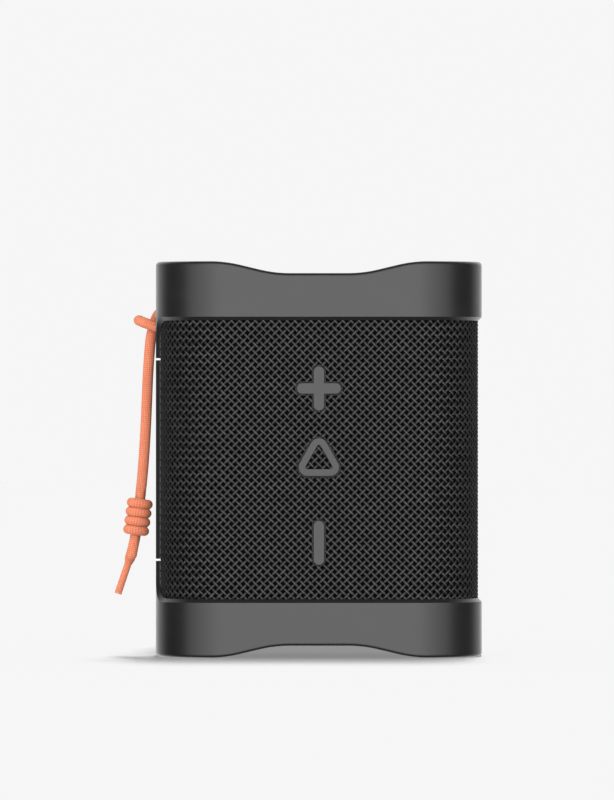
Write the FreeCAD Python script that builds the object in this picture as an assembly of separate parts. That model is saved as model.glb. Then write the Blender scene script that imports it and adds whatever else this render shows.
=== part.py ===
import FreeCAD, Part
import math
import os

# Portable weatherproof speaker, in millimetres.  +Z is up, the front faces -Y, and the origin is the middle
# of the footprint on the surface that the speaker stands on.
V = FreeCAD.Vector
OUTSIDE = 60.0              # clear of the body on every side, for cutting tools
AXES = {"X": V(1, 0, 0), "Y": V(0, 1, 0), "Z": V(0, 0, 1)}

# ---- driving dimensions of the body ----
HEIGHT = 120.0              # over the four end lobes
HALF_W = 49.6               # half width, along X
HALF_D = 28.0               # half depth, along Y
CORNER_R = 20.6             # corner radius of the body in plan
SHELL_WALL = 3.0
RIM_ROUND = 1.2             # rounding of the shell's top and bottom rims
SCOOP_DROP = 3.6            # depth of the scoop in the middle of each end
SCOOP_START = 33.0          # |x| where the scoop starts to fall
SCOOP_R = 39.0              # both arcs of the scoop's S curve
SCOOP_SLOPE = math.radians(13.5)
OPEN_LOW, OPEN_HIGH = 17.75, 102.1   # the band that the fabric fills
BAND_CHAMFER = 1.1          # bevel all round that band
SPINE_HALF = 9.6            # half width of the spine that joins the two ends, on the left side
SPINE_FLARE = 7.0           # its corner radius where it meets the ends
CAVITY_LOW, CAVITY_HIGH = 6.6, 113.0

# ---- layers inside the shell, each given by how far it lies inside the body's outline ----
FABRIC_INSET, FABRIC_THICK = 1.4, 0.5
CARRIER_INSET, CARRIER_THICK = 1.95, 1.2
HOUSING_INSET, HOUSING_WALL = 3.4, 2.0
LAYER_GAP = 0.1
SPINE_GAP = 0.15

# ---- front buttons ----
BUTTON_FACE = -27.2         # y of the keys' front face
KEY_BACK = -24.7            # y where a key meets its flange
FLANGE_THICK = 0.8
STEM_R, STEM_END = 1.5, -22.95
KEY_GAP = 0.3
KEY_EDGE = 0.25             # rounding of the keys' front edge
BAR_LONG, BAR_R = 13.6, 1.72
PLUS_Z, PLAY_LOW_Z, MINUS_Z = 81.5, 54.9, 34.8
PLAY_W, PLAY_H, PLAY_R, PLAY_STROKE = 12.5, 11.7, 2.8, 2.3
STEM_Z = {"plus": PLUS_Z, "play": PLAY_LOW_Z + PLAY_R + 2.0, "minus": MINUS_Z}

# ---- side keys and light, in the spine ----
SIDE_KEY_R, SIDE_KEY_GAP, SIDE_KEY_FACE = 4.25, 0.2, -49.55
LIGHT_R = 1.0
POWER_Z, LIGHT_Z, LINK_Z = 73.5, 60.0, 46.5
MARK_Z = (29.4, 90.4)
MARK_TALL, MARK_DEEP = 0.6, 0.3

# ---- sealed housing in two halves, with room for the boards behind the keys ----
HOUSING_Z = (OPEN_LOW + 0.3, OPEN_HIGH - 0.3)
CHANNEL_X, CHANNEL_Z, CHANNEL_FLOOR = 7.8, (25.6, 90.8), -20.1
SIDE_CHANNEL_X, SIDE_CHANNEL_Y, SIDE_CHANNEL_LOW = -40.6, 8.2, 36.0
CHANNEL_WALL = 1.5
SEAL_HALF = 0.5
BOSS_R, BOSS_AT = 3.2, [(sx * 39.5, z) for sx in (-1, 1) for z in (24.5, 95.0)]
SCREW_R, SCREW_HEAD_R = 1.0, 2.2
SCREW_HEAD_Y, SCREW_HEAD_TALL, SCREW_TIP_Y = 13.0, 1.6, -9.0

# ---- port door, in the back of the lower end ----
DOOR_PIVOT = V(0, 27.05, 6.75)
DOOR_HALF_T = 0.75
DOOR_HALF_W, DOOR_TOP, DOOR_R = 7.3, 14.2, 1.5
DOOR_GAP = 0.3
DOOR_STRIP = 6.2            # half length of the strip that the door bends at
PORT_Z, PORT_HALF, PORT_R = 11.0, 2.85, 1.62

# ---- boards and battery ----
BOARD_THICK = 1.0
MAIN_BOARD_Z = (7.7, 9.3)
CHIP_Z = 9.35
CELL_Y, CELL_Z, CELL_R = 17.0, (102.9, 112.4), 2.5

# ---- loudspeakers and passive radiator ----
DRIVER_X, DRIVER_Z = 25.2, 60.0
DRIVER_FLANGE_R, DRIVER_HOLE_R = 16.0, 14.5
DRIVER_FRONT = -19.0
RADIATOR_Z, RADIATOR_R, RADIATOR_HOLE_R = 60.0, 25.0, 22.0
RADIATOR_FRONT = 21.6

# ---- lanyard ----
CORD_R = 1.6
BAR_AT = V(-46.8, 0, 102.5)
BAR_RADIUS, BAR_HALF = 1.0, 7.3
WRAP_R = 2.65               # centreline radius of the cord round the bar
POCKET_HALF, POCKET_LOW, POCKET_HIGH, POCKET_FLOOR = 6.6, 97.3, 107.7, -42.2
CUP_WALL, CUP_FACE = 0.85, -49.5
STRAND_Y = 1.65
KNOT_TOP, KNOT_BOTTOM = V(-54.45, 0, 47.85), V(-55.92, 0, 36.85)
KNOT_TURNS, KNOT_R, KNOT_TUBE_R, KNOT_CORE_R = 4, 4.0, 1.5, 3.3
TAIL_R = 1.1


def export(name, shape):
    if not shape.isValid():
        print("NOT VALID", name)
    shape.exportStep("parts/" + name + ".step")


def box(x, y, z):
    return Part.makeBox(x[1] - x[0], y[1] - y[0], z[1] - z[0], V(x[0], y[0], z[0]))


def rod(axis, centre, r, lo, hi):
    """Cylinder along axis; centre gives its place on the other two axes."""
    start = V(centre) - AXES[axis] * centre.dot(AXES[axis]) + AXES[axis] * lo
    return Part.makeCylinder(r, hi - lo, start, AXES[axis])


def tube(axis, centre, r_out, r_in, lo, hi):
    return rod(axis, centre, r_out, lo, hi).cut(rod(axis, centre, r_in, lo - 1, hi + 1))


def horn(centre, r_front, y_front, r_back, y_back):
    """Solid cone frustum along Y."""
    return Part.makeCone(r_front, r_back, y_back - y_front, V(centre.x, y_front, centre.z), AXES["Y"])


def fuse(shapes):
    return shapes[0].multiFuse(shapes[1:]).removeSplitter() if len(shapes) > 1 else shapes[0]


# ---- outlines ----
def plan_wire(inset, z):
    """The body's outline seen from above, moved inwards by inset."""
    hw, hd, r = HALF_W - inset, HALF_D - inset, CORNER_R - inset
    cx, cy, d = hw - r, hd - r, r * math.sqrt(0.5)
    edges = []
    for sx, sy in ((1, -1), (1, 1), (-1, 1), (-1, -1)):
        first, last = V(sx * cx, sy * hd, z), V(sx * hw, sy * cy, z)
        if sx * sy > 0:
            first, last = last, first
        edges.append(Part.Arc(first, V(sx * (cx + d), sy * (cy + d), z), last).toShape())
    lines = []
    for i, arc in enumerate(edges):
        following = edges[(i + 1) % 4]
        lines.append(Part.makeLine(arc.Vertexes[-1].Point, following.Vertexes[0].Point))
    return Part.Wire([e for pair in zip(edges, lines) for e in pair])


def plan_block(inset, low, high):
    return Part.Face(plan_wire(inset, low)).extrude(V(0, 0, high - low))


def plan_shell(inset, thick, low, high):
    return plan_block(inset, low, high).cut(plan_block(inset + thick, low - 1, high + 1))


def rounded_outline(plane, centres, r, at):
    """Outline round circles of radius r, given anticlockwise by (u, v) centres; two make a slot shape."""
    def place(u, v):
        return {"XZ": V(u, at, v), "YZ": V(at, u, v), "XY": V(u, v, at)}[plane]

    count = len(centres)
    edges = []
    for i in range(count):
        (u0, v0), (u1, v1), (u2, v2) = (centres[(i + k) % count] for k in range(3))
        run = math.hypot(u1 - u0, v1 - v0)
        du, dv = (u1 - u0) / run, (v1 - v0) / run
        following = math.hypot(u2 - u1, v2 - v1)
        eu, ev = (u2 - u1) / following, (v2 - v1) / following
        mu, mv = dv + ev, -du - eu
        if math.hypot(mu, mv) < 0.001:
            mu, mv = du, dv
        m = r / math.hypot(mu, mv)
        edges.append(Part.makeLine(place(u0 + r * dv, v0 - r * du), place(u1 + r * dv, v1 - r * du)))
        edges.append(Part.Arc(place(u1 + r * dv, v1 - r * du), place(u1 + m * mu, v1 + m * mv),
                              place(u1 + r * ev, v1 - r * eu)).toShape())
    return Part.Wire(edges)


def rounded_prism(plane, centres, r, lo, hi):
    normal = AXES[{"XZ": "Y", "YZ": "X", "XY": "Z"}[plane]]
    return Part.Face(rounded_outline(plane, centres, r, lo)).extrude(normal * (hi - lo))


def corners(u, v, r):
    """Circle centres for a rounded rectangle from u[0] to u[1] and v[0] to v[1]."""
    return [(u[0] + r, v[0] + r), (u[1] - r, v[0] + r), (u[1] - r, v[1] - r), (u[0] + r, v[1] - r)]


# ---- shell ----
def scoop_side(sign, z_of):
    """Half of a scooped end edge, from the middle outwards, as edges in the XZ plane."""
    reach, drop = SCOOP_R * math.sin(SCOOP_SLOPE), SCOOP_R * (1 - math.cos(SCOOP_SLOPE))
    straight = (SCOOP_DROP - 2 * drop) / math.sin(SCOOP_SLOPE)
    half_reach = SCOOP_R * math.sin(SCOOP_SLOPE / 2)
    half_drop = SCOOP_R * (1 - math.cos(SCOOP_SLOPE / 2))
    flat_end = SCOOP_START - 2 * reach - straight * math.cos(SCOOP_SLOPE)

    def at(x, down):
        return V(sign * x, 0, z_of(down))

    far = HALF_W + 5
    return [
        Part.makeLine(at(0, SCOOP_DROP), at(flat_end, SCOOP_DROP)),
        Part.Arc(at(flat_end, SCOOP_DROP), at(flat_end + half_reach, SCOOP_DROP - half_drop),
                 at(flat_end + reach, SCOOP_DROP - drop)).toShape(),
        Part.makeLine(at(flat_end + reach, SCOOP_DROP - drop), at(SCOOP_START - reach, drop)),
        Part.Arc(at(SCOOP_START - reach, drop), at(SCOOP_START - half_reach, half_drop),
                 at(SCOOP_START, 0)).toShape(),
        Part.makeLine(at(SCOOP_START, 0), at(far, 0)),
    ]


def scooped_block():
    """Everything between the scooped bottom edge and the scooped top edge."""
    far = HALF_W + 5
    edges = []
    for sign in (-1, 1):
        edges += scoop_side(sign, lambda down: HEIGHT - down)
        edges += scoop_side(sign, lambda down: down)
        edges.append(Part.makeLine(V(sign * far, 0, 0), V(sign * far, 0, HEIGHT)))
    wire = Part.Wire(Part.__sortEdges__(edges))
    face = Part.Face(wire)
    face.translate(V(0, -HALF_D - 5, 0))
    return face.extrude(V(0, 2 * HALF_D + 10, 0))


def on_outline(point, tolerance=0.01):
    """Whether a point lies on the body's outer wall."""
    cx, cy = HALF_W - CORNER_R, HALF_D - CORNER_R
    dx, dy = max(abs(point.x) - cx, 0), max(abs(point.y) - cy, 0)
    return abs(math.hypot(dx, dy) - CORNER_R) < tolerance


def outer_edges(shape, test):
    """Edges that lie in the outer wall and pass test(edge, middle point)."""
    found = []
    for edge in shape.Edges:
        first, last = edge.ParameterRange
        points = [edge.valueAt(first + (last - first) * k / 4) for k in range(5)]
        if all(on_outline(p) for p in points) and test(edge, points[2]):
            found.append(edge)
    return found


def is_upright(edge):
    a, b = edge.Vertexes[0].Point, edge.Vertexes[-1].Point
    return abs(a.x - b.x) + abs(a.y - b.y) < 0.001


def spine_block():
    """The spine's outline seen from the left: straight sides that flare into both ends."""
    h, r, d = SPINE_HALF, SPINE_FLARE, SPINE_FLARE * (1 - math.sqrt(0.5))
    x = -HALF_W - 5
    points = [V(x, -h - r, OPEN_LOW), V(x, h + r, OPEN_LOW), V(x, h, OPEN_LOW + r), V(x, h, OPEN_HIGH - r),
              V(x, h + r, OPEN_HIGH), V(x, -h - r, OPEN_HIGH), V(x, -h, OPEN_HIGH - r), V(x, -h, OPEN_LOW + r)]
    edges = [
        Part.makeLine(points[0], points[1]),
        Part.Arc(points[1], V(x, h + d, OPEN_LOW + d), points[2]).toShape(),
        Part.makeLine(points[2], points[3]),
        Part.Arc(points[3], V(x, h + d, OPEN_HIGH - d), points[4]).toShape(),
        Part.makeLine(points[4], points[5]),
        Part.Arc(points[5], V(x, -h - d, OPEN_HIGH - d), points[6]).toShape(),
        Part.makeLine(points[6], points[7]),
        Part.Arc(points[7], V(x, -h - d, OPEN_LOW + d), points[0]).toShape(),
    ]
    return Part.Face(Part.Wire(edges)).extrude(V(HALF_W, 0, 0))


def band_volume():
    """The band that is open on the front, right and back, cut away from the shell."""
    return box((-OUTSIDE, OUTSIDE), (-40, 40), (OPEN_LOW, OPEN_HIGH)).cut(spine_block())


def raw_shell():
    body = plan_block(0, -1, HEIGHT + 1).common(scooped_block())
    rims = outer_edges(body, lambda e, m: not is_upright(e) and abs(m.z - HEIGHT / 2) > HEIGHT / 2 - 5)
    body = body.makeFillet(RIM_ROUND, rims)
    body = body.cut(band_volume())
    seam_y = HALF_D - CORNER_R
    bevels = outer_edges(
        body,
        lambda e, m: OPEN_LOW - 1 < m.z < OPEN_HIGH + 1
        and not (is_upright(e) and abs(abs(m.y) - seam_y) < 0.05 and abs(e.Length) > 1),
    )
    body = body.makeChamfer(BAND_CHAMFER, bevels)
    return body.cut(plan_block(SHELL_WALL, CAVITY_LOW, CAVITY_HIGH))


def port_cut():
    """Recess for the port door in the back of the lower end, with the socket's slot behind it."""
    reach, r = DOOR_HALF_W + DOOR_GAP, DOOR_R + 0.1
    low, high = DOOR_PIVOT.z - DOOR_HALF_T - 0.25, DOOR_TOP + 0.25
    recess = rounded_prism("XZ", corners((-reach, reach), (low, high), r), r, 26.2, 29)
    slot = rounded_prism("XZ", [(-PORT_HALF - 0.1, PORT_Z), (PORT_HALF + 0.1, PORT_Z)], PORT_R + 0.23, 20, 29)
    return recess.fuse(slot)


def pocket_block(grow, x_lo, x_hi):
    y, z = POCKET_HALF + grow, (POCKET_LOW - grow, POCKET_HIGH + grow)
    return rounded_prism("YZ", corners((-y, y), z, 2.0 + grow), 2.0 + grow, x_lo, x_hi)


def build_shell():
    """The shell with its openings, and the two white lines let into the spine's skin and bevels."""
    plain = raw_shell()
    tools = [port_cut(), pocket_block(CUP_WALL + 0.05, -OUTSIDE, -40)]
    tools += [rod("X", V(0, 0, z), SIDE_KEY_R + SIDE_KEY_GAP, -OUTSIDE, -45) for z in (POWER_Z, LINK_Z)]
    tools.append(rod("X", V(0, 0, LIGHT_Z), LIGHT_R + 0.05, -OUTSIDE, -45))
    marks = []
    for z in MARK_Z:
        slab = box((-OUTSIDE, -47.6), (-12, 12), (z - MARK_TALL / 2, z + MARK_TALL / 2))
        skin = plain.common(slab)
        core = skin.copy()
        core.translate(V(MARK_DEEP, 0, 0))
        marks.append(skin.cut(core))
    marks = Part.makeCompound(marks)
    return plain.cut(tools[0].multiFuse(tools[1:])).cut(marks), marks


# ---- cloth, carrier and housings ----
def symbol_centres():
    """The circle centres and radius of each front key's outline, in X and Z."""
    reach = BAR_LONG / 2 - BAR_R
    low = PLAY_LOW_Z + PLAY_R
    play = [(PLAY_R - PLAY_W / 2, low), (PLAY_W / 2 - PLAY_R, low), (0, PLAY_LOW_Z + PLAY_H - PLAY_R)]
    return {
        "plus": ([[(-reach, PLUS_Z), (reach, PLUS_Z)], [(0, PLUS_Z - reach), (0, PLUS_Z + reach)]], BAR_R),
        "play": ([play], PLAY_R),
        "minus": ([[(0, MINUS_Z - reach), (0, MINUS_Z + reach)]], BAR_R),
    }


def symbol(name, grow, y_lo, y_hi):
    outlines, r = symbol_centres()[name]
    return fuse([rounded_prism("XZ", centres, r + grow, y_lo, y_hi) for centres in outlines])


def key_openings():
    return fuse([symbol(name, KEY_GAP, -35, -20) for name in ("plus", "play", "minus")])


def grown_spine():
    """The spine with a little room in front of it and behind it, for cutting the layers inside."""
    tall = spine_block()
    wide = [tall]
    for dy in (-SPINE_GAP, SPINE_GAP):
        moved = tall.copy()
        moved.translate(V(0, dy, 0))
        wide.append(moved)
    return fuse(wide)


def build_fabric(openings):
    cloth = plan_shell(FABRIC_INSET, FABRIC_THICK, OPEN_LOW + LAYER_GAP, OPEN_HIGH - LAYER_GAP)
    return cloth.cut(grown_spine()).cut(openings)


def hole_grid(cx, cz, radius, pitch):
    """Hexagonal grid of hole centres inside a circle."""
    rows = int(radius / pitch) + 2
    points = []
    for j in range(-rows, rows + 1):
        for i in range(-rows, rows + 1):
            x = (i + 0.5 * (j % 2)) * pitch
            z = j * pitch * math.sqrt(0.75)
            if math.hypot(x, z) <= radius:
                points.append((cx + x, cz + z))
    return points


def build_carrier(openings):
    carrier = plan_shell(CARRIER_INSET, CARRIER_THICK, OPEN_LOW + LAYER_GAP, OPEN_HIGH - LAYER_GAP)
    holes = [rod("Y", V(x, 0, z), 1.6, -32, -8)
             for side in (-1, 1) for x, z in hole_grid(side * DRIVER_X, DRIVER_Z, 12.5, 4.6)]
    holes += [rod("Y", V(x, 0, z), 1.8, 20, 32) for x, z in hole_grid(0, RADIATOR_Z, 20, 5.6)]
    return carrier.cut(grown_spine()).cut(openings).cut(Part.makeCompound(holes))


def channels(grow):
    front = box((-CHANNEL_X - grow, CHANNEL_X + grow), (-40, CHANNEL_FLOOR + grow),
                (CHANNEL_Z[0] - grow, CHANNEL_Z[1] + grow))
    side = box((-OUTSIDE, SIDE_CHANNEL_X + grow), (-SIDE_CHANNEL_Y - grow, SIDE_CHANNEL_Y + grow),
               (SIDE_CHANNEL_LOW - grow, 120))
    return front.fuse(side)


def enclosure():
    """The sealed box round the loudspeakers, with every bore, before it is split in two."""
    low, high = HOUSING_Z
    outer = plan_block(HOUSING_INSET, low, high)
    hollow = plan_block(HOUSING_INSET + HOUSING_WALL, low + HOUSING_WALL, high - HOUSING_WALL)
    hollow = hollow.cut(channels(CHANNEL_WALL))
    rims = [rod("Y", V(sx * DRIVER_X, 0, DRIVER_Z), DRIVER_FLANGE_R + 0.9, -40, DRIVER_FRONT + 3.4)
            for sx in (-1, 1)]
    rims.append(rod("Y", V(0, 0, RADIATOR_Z), RADIATOR_R + 1.2, RADIATOR_FRONT - 2.4, 40))
    rims += [rod("Y", V(x, 0, z), BOSS_R, -40, 40) for x, z in BOSS_AT]
    hollow = hollow.cut(Part.makeCompound(rims))
    body = outer.cut(channels(0)).cut(hollow)
    bores = []
    for sx in (-1, 1):
        at = V(sx * DRIVER_X, 0, DRIVER_Z)
        bores += [rod("Y", at, DRIVER_FLANGE_R + 0.1, -40, DRIVER_FRONT + 1.6),
                  rod("Y", at, DRIVER_HOLE_R, -40, -10)]
    at = V(0, 0, RADIATOR_Z)
    bores += [rod("Y", at, RADIATOR_R + 0.1, RADIATOR_FRONT - 1.2, 40), rod("Y", at, RADIATOR_HOLE_R, 12, 40)]
    for x, z in BOSS_AT:
        at = V(x, 0, z)
        bores += [rod("Y", at, SCREW_R - 0.1, SCREW_TIP_Y - 0.5, 0),
                  rod("Y", at, SCREW_R + 0.2, -SEAL_HALF, 30),
                  rod("Y", at, SCREW_HEAD_R + 0.3, SCREW_HEAD_Y, 40)]
    return body.cut(Part.makeCompound(bores))


def build_housings():
    whole = enclosure()
    front = whole.common(box((-OUTSIDE, OUTSIDE), (-40, -SEAL_HALF), (0, 120)))
    rear = whole.common(box((-OUTSIDE, OUTSIDE), (SEAL_HALF, 40), (0, 120)))
    seal = whole.common(box((-OUTSIDE, OUTSIDE), (-SEAL_HALF, SEAL_HALF), (0, 120)))
    return front, rear, seal


def build_screws():
    screws = []
    for x, z in BOSS_AT:
        at = V(x, 0, z)
        shank = rod("Y", at, SCREW_R, SCREW_TIP_Y, SCREW_HEAD_Y)
        head = rod("Y", at, SCREW_HEAD_R, SCREW_HEAD_Y, SCREW_HEAD_Y + SCREW_HEAD_TALL)
        drive = fuse([box((x - 1.3, x + 1.3), (SCREW_HEAD_Y + 0.7, 30), (z - 0.25, z + 0.25)),
                      box((x - 0.25, x + 0.25), (SCREW_HEAD_Y + 0.7, 30), (z - 1.3, z + 1.3))])
        screws.append(shank.fuse(head).cut(drive))
    return Part.makeCompound(screws)


# ---- loudspeakers ----
def half_roll(centre, major, minor, thick, y_plane, forward):
    """Half-round rubber ring with a flat lip inside and outside; forward is -1 or +1 along Y."""
    at = V(centre.x, y_plane, centre.z)
    ring = Part.makeTorus(major, minor, at, AXES["Y"]).cut(Part.makeTorus(major, minor - thick, at, AXES["Y"]))
    keep = (y_plane - 5, y_plane) if forward < 0 else (y_plane, y_plane + 5)
    ring = ring.common(box((centre.x - 40, centre.x + 40), keep, (centre.z - 40, centre.z + 40)))
    lip = (y_plane - thick, y_plane) if forward < 0 else (y_plane, y_plane + thick)
    inner = tube("Y", centre, major - minor + thick * 0.6, major - minor - 0.9, *lip)
    outer = tube("Y", centre, major + minor + 0.7, major + minor - thick * 0.6, *lip)
    return fuse([ring, inner, outer])


def build_driver(side, x):
    at = V(x, 0, DRIVER_Z)
    front = DRIVER_FRONT
    flange = tube("Y", at, DRIVER_FLANGE_R, 14.4, front, front + 1.6)
    bowl = horn(at, 14.3, front + 1.5, 11.8, front + 10).cut(horn(at, 13.5, front + 1.4, 11.0, front + 9.2))
    windows = [box((x + 2.2, x + 20), (front + 3.2, front + 7.4), (DRIVER_Z - 3.0, DRIVER_Z + 3.0))]
    for k in range(6):
        w = windows[0].copy()
        w.rotate(at, AXES["Y"], 30 + 60 * k)
        windows.append(w)
    ring = tube("Y", at, 14.5, 14.2, front + 0.8, front + 1.6)
    bowl = bowl.cut(Part.makeCompound(windows[1:])).cut(rod("Y", at, 5.9, front + 9, front + 11))
    basket = fuse([flange, ring, bowl.fuse(tube("Y", at, 14.5, 13.5, front + 1.0, front + 1.6))])
    basket = basket.cut(rod("Y", at, 14.8, front - 1, front + 0.45))
    export(f"driver_{side}_basket", basket)

    magnet = tube("Y", at, 11.0, 5.9, front + 10.05, front + 14.6)
    export(f"driver_{side}_magnet", magnet)
    yoke = rod("Y", at, 11.3, front + 14.65, front + 16.6).fuse(rod("Y", at, 4.2, front + 9.5, front + 14.65))
    export(f"driver_{side}_yoke", yoke)

    cone = horn(at, 11.5, front + 0.75, 5.3, front + 5.4).cut(horn(at, 11.1, front + 0.7, 4.9, front + 5.35))
    rim = tube("Y", at, 11.7, 10.9, front + 0.45, front + 0.85)
    former = tube("Y", at, 5.2, 4.7, front + 5.2, front + 13.0)
    ball = Part.makeSphere(7.0, V(x, front + 8.9, DRIVER_Z))
    dome = ball.cut(Part.makeSphere(6.6, V(x, front + 8.9, DRIVER_Z)))
    dome = dome.common(box((x - 9, x + 9), (front - 5, front + 4.3), (DRIVER_Z - 9, DRIVER_Z + 9)))
    cone = cone.cut(rod("Y", at, 4.6, front + 4.5, front + 6))
    export(f"driver_{side}_cone", fuse([cone, rim, former, dome]))

    surround = half_roll(at, 12.75, 1.25, 0.35, front + 0.4, -1)
    export(f"driver_{side}_surround", surround)
    waves = [tube("Y", at, 10.6 - k * 1.25, 9.95 - k * 1.25, front + 7.05, front + 7.85) for k in range(4)]
    spider = fuse([tube("Y", at, 11.15, 5.3, front + 7.3, front + 7.6)] + waves)
    export(f"driver_{side}_spider", spider)


def build_radiator():
    at = V(0, 0, RADIATOR_Z)
    back = RADIATOR_FRONT
    export("radiator_frame", tube("Y", at, RADIATOR_R, 21.6, back - 1.15, back))
    export("radiator_surround", half_roll(at, 18.6, 2.2, 0.6, back + 0.05, 1))
    plate = rod("Y", at, 16.6, back - 1.0, back).cut(rod("Y", at, 12.0, back - 0.5, back + 1))
    hub = horn(at, 9.0, back - 3.0, 12.2, back - 1.0)
    export("radiator_plate", plate.fuse(hub))


# ---- keys, boards and the port ----
def soften_front(shape, y):
    edges = [e for e in shape.Edges if all(abs(v.Point.y - y) < 0.001 for v in e.Vertexes)
             and abs(e.CenterOfMass.y - y) < 0.001]
    return shape.makeFillet(KEY_EDGE, edges)


def build_front_keys():
    for name in ("plus", "play", "minus"):
        cap = symbol(name, 0, BUTTON_FACE, KEY_BACK)
        middle_z = STEM_Z[name]
        if name == "play":
            cap = cap.cut(symbol(name, -PLAY_STROKE, BUTTON_FACE - 1, KEY_BACK + 1))
        cap = soften_front(cap, BUTTON_FACE)
        flange = symbol(name, 0.75, KEY_BACK, KEY_BACK + FLANGE_THICK)
        stem = rod("Y", V(0, 0, middle_z), STEM_R, KEY_BACK + FLANGE_THICK - 0.1, STEM_END)
        export(name + "_button", fuse([cap, flange, stem]))
    patch = symbol("play", -PLAY_STROKE - 0.05, -HALF_D + FABRIC_INSET, KEY_BACK - 0.02)
    export("play_patch", patch)

    board = box((-6.8, 6.8), (-20.2 - BOARD_THICK, -20.2), (27.0, 89.4))
    export("button_board", board)
    zs = tuple(STEM_Z.values())
    switches = [rounded_prism("XZ", corners((-2.2, 2.2), (z - 2.2, z + 2.2), 0.5), 0.5, -22.0, -21.22)
                for z in zs]
    domes = [rod("Y", V(0, 0, z), 1.2, -22.35, -21.9) for z in zs]
    export("front_switches", Part.makeCompound([s.fuse(d) for s, d in zip(switches, domes)]))


def build_side_keys():
    for name, z in (("power", POWER_Z), ("link", LINK_Z)):
        at = V(0, 0, z)
        cap = rod("X", at, SIDE_KEY_R, SIDE_KEY_FACE, -46.4)
        rim = [e for e in cap.Edges if abs(e.CenterOfMass.x - SIDE_KEY_FACE) < 0.001]
        cap = cap.makeFillet(0.3, rim)
        dish = Part.makeSphere(22.0, V(SIDE_KEY_FACE - 21.65, 0, z))
        if name == "power":
            icon = tube("X", at, 1.9, 1.45, -51, SIDE_KEY_FACE + 0.5).cut(
                box((-52, -48), (-0.75, 0.75), (z, z + 3)))
            icon = icon.fuse(box((-51, SIDE_KEY_FACE + 0.5), (-0.22, 0.22), (z + 0.4, z + 2.3)))
        else:
            icon = fuse([tube("X", at + V(0, dy, dz), 1.15, 0.75, -51, SIDE_KEY_FACE + 0.5)
                         for dy, dz in ((-0.62, -0.62), (0.62, 0.62))])
        cap = cap.cut(dish).cut(icon)
        flange = rod("X", at, SIDE_KEY_R + 0.7, -46.45, -45.85)
        stem = rod("X", at, 1.5, -45.9, -45.1)
        export(name + "_button", fuse([cap, flange, stem]))
    board = box((-41.9 - BOARD_THICK, -41.9), (-6.5, 6.5), (38.5, 82.0))
    export("side_board", board)
    switches = []
    for z in (POWER_Z, LINK_Z):
        body = rounded_prism("YZ", corners((-2.4, 2.4), (z - 2.4, z + 2.4), 0.5), 0.5, -44.1, -42.92)
        switches.append(body.fuse(rod("X", V(0, 0, z), 1.2, -44.5, -44.0)))
    export("side_switches", Part.makeCompound(switches))
    light = rod("X", V(0, 0, LIGHT_Z), LIGHT_R, -HALF_W, -43.6)
    export("status_light", light)


def build_port():
    y0, y1 = DOOR_PIVOT.y - DOOR_HALF_T, DOOR_PIVOT.y + DOOR_HALF_T
    outline = corners((-DOOR_HALF_W, DOOR_HALF_W), (DOOR_PIVOT.z - DOOR_HALF_T, DOOR_TOP), DOOR_R)
    plate = rounded_prism("XZ", outline, DOOR_R, y0, y1)
    plate = plate.cut(box((-20, 20), (0, 40), (0, DOOR_PIVOT.z)))
    knuckle = rod("X", DOOR_PIVOT, DOOR_HALF_T, -DOOR_STRIP, DOOR_STRIP)
    for side in ((-20, -DOOR_STRIP), (DOOR_STRIP, 20)):
        plate = plate.cut(box(side, (0, 40), (0, 8.4)))
    scoop = rod("X", V(0, 28.9, 13.6), 1.3, -3.0, 3.0)
    export("port_door", fuse([plate, knuckle]).cut(scoop))
    ends = [(-PORT_HALF, PORT_Z), (PORT_HALF, PORT_Z)]
    shell = rounded_prism("XZ", ends, PORT_R, 17.4, 24.7)
    mouth = rounded_prism("XZ", ends, PORT_R - 0.3, 18.2, 25)
    tongue = box((-3.3, 3.3), (18.2, 23.8), (PORT_Z - 0.35, PORT_Z + 0.35))
    export("usb_socket", shell.cut(mouth).fuse(tongue))


def build_boards():
    board = rounded_prism("XY", corners((-34, 34), (-20, 22.5), 3.0), 3.0, *MAIN_BOARD_Z)
    export("main_board", board)
    chips = [box((-26, -14), (-10, 2), (CHIP_Z, 10.6)), box((-6, 4), (-14, -4), (CHIP_Z, 10.5)),
             box((12, 19), (-8, -1), (CHIP_Z, 10.3)), box((22, 27), (4, 9), (CHIP_Z, 12.0)),
             box((-30, -25), (9, 14), (CHIP_Z, 12.0))]
    chips += [rod("Z", V(x, 13, 0), 2.5, CHIP_Z, 14.8) for x in (-18, -11, 12, 18)]
    export("board_components", Part.makeCompound(chips))
    def round_cell(grow, x_lo, x_hi):
        y, z, r = CELL_Y + grow, (CELL_Z[0] - grow, CELL_Z[1] + grow), CELL_R + grow
        return rounded_prism("YZ", corners((-y, y), z, r), r, x_lo, x_hi)

    export("battery_cell", round_cell(0, -31, 33))
    export("battery_strap", round_cell(0.4, -12, 14).cut(round_cell(0.05, -13, 15)))
    export("antenna", box((36, 37), (-14, 14), (104, 111)))


# ---- lanyard ----
def rounded_route(points):
    """Straight runs joined by tangent arcs; gives the wire, its length and the arcs' radii."""
    edges, radii, start = [], [], points[0]
    for before, corner, after in zip(points, points[1:], points[2:]):
        u, w = (corner - before), (after - corner)
        reach = 0.45 * min(u.Length, w.Length)
        u.normalize()
        w.normalize()
        half_turn = u.getAngle(w) / 2
        radius = reach / math.tan(half_turn)
        inwards = w - u
        inwards.normalize()
        first, last = corner - u * reach, corner + w * reach
        middle = corner + inwards * (radius / math.cos(half_turn) - radius)
        edges.append(Part.LineSegment(start, first).toShape())
        edges.append(Part.Arc(first, middle, last).toShape())
        radii.append(radius)
        start = last
    edges.append(Part.LineSegment(start, points[-1]).toShape())
    return Part.Wire(edges), sum(e.Length for e in edges), radii


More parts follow.
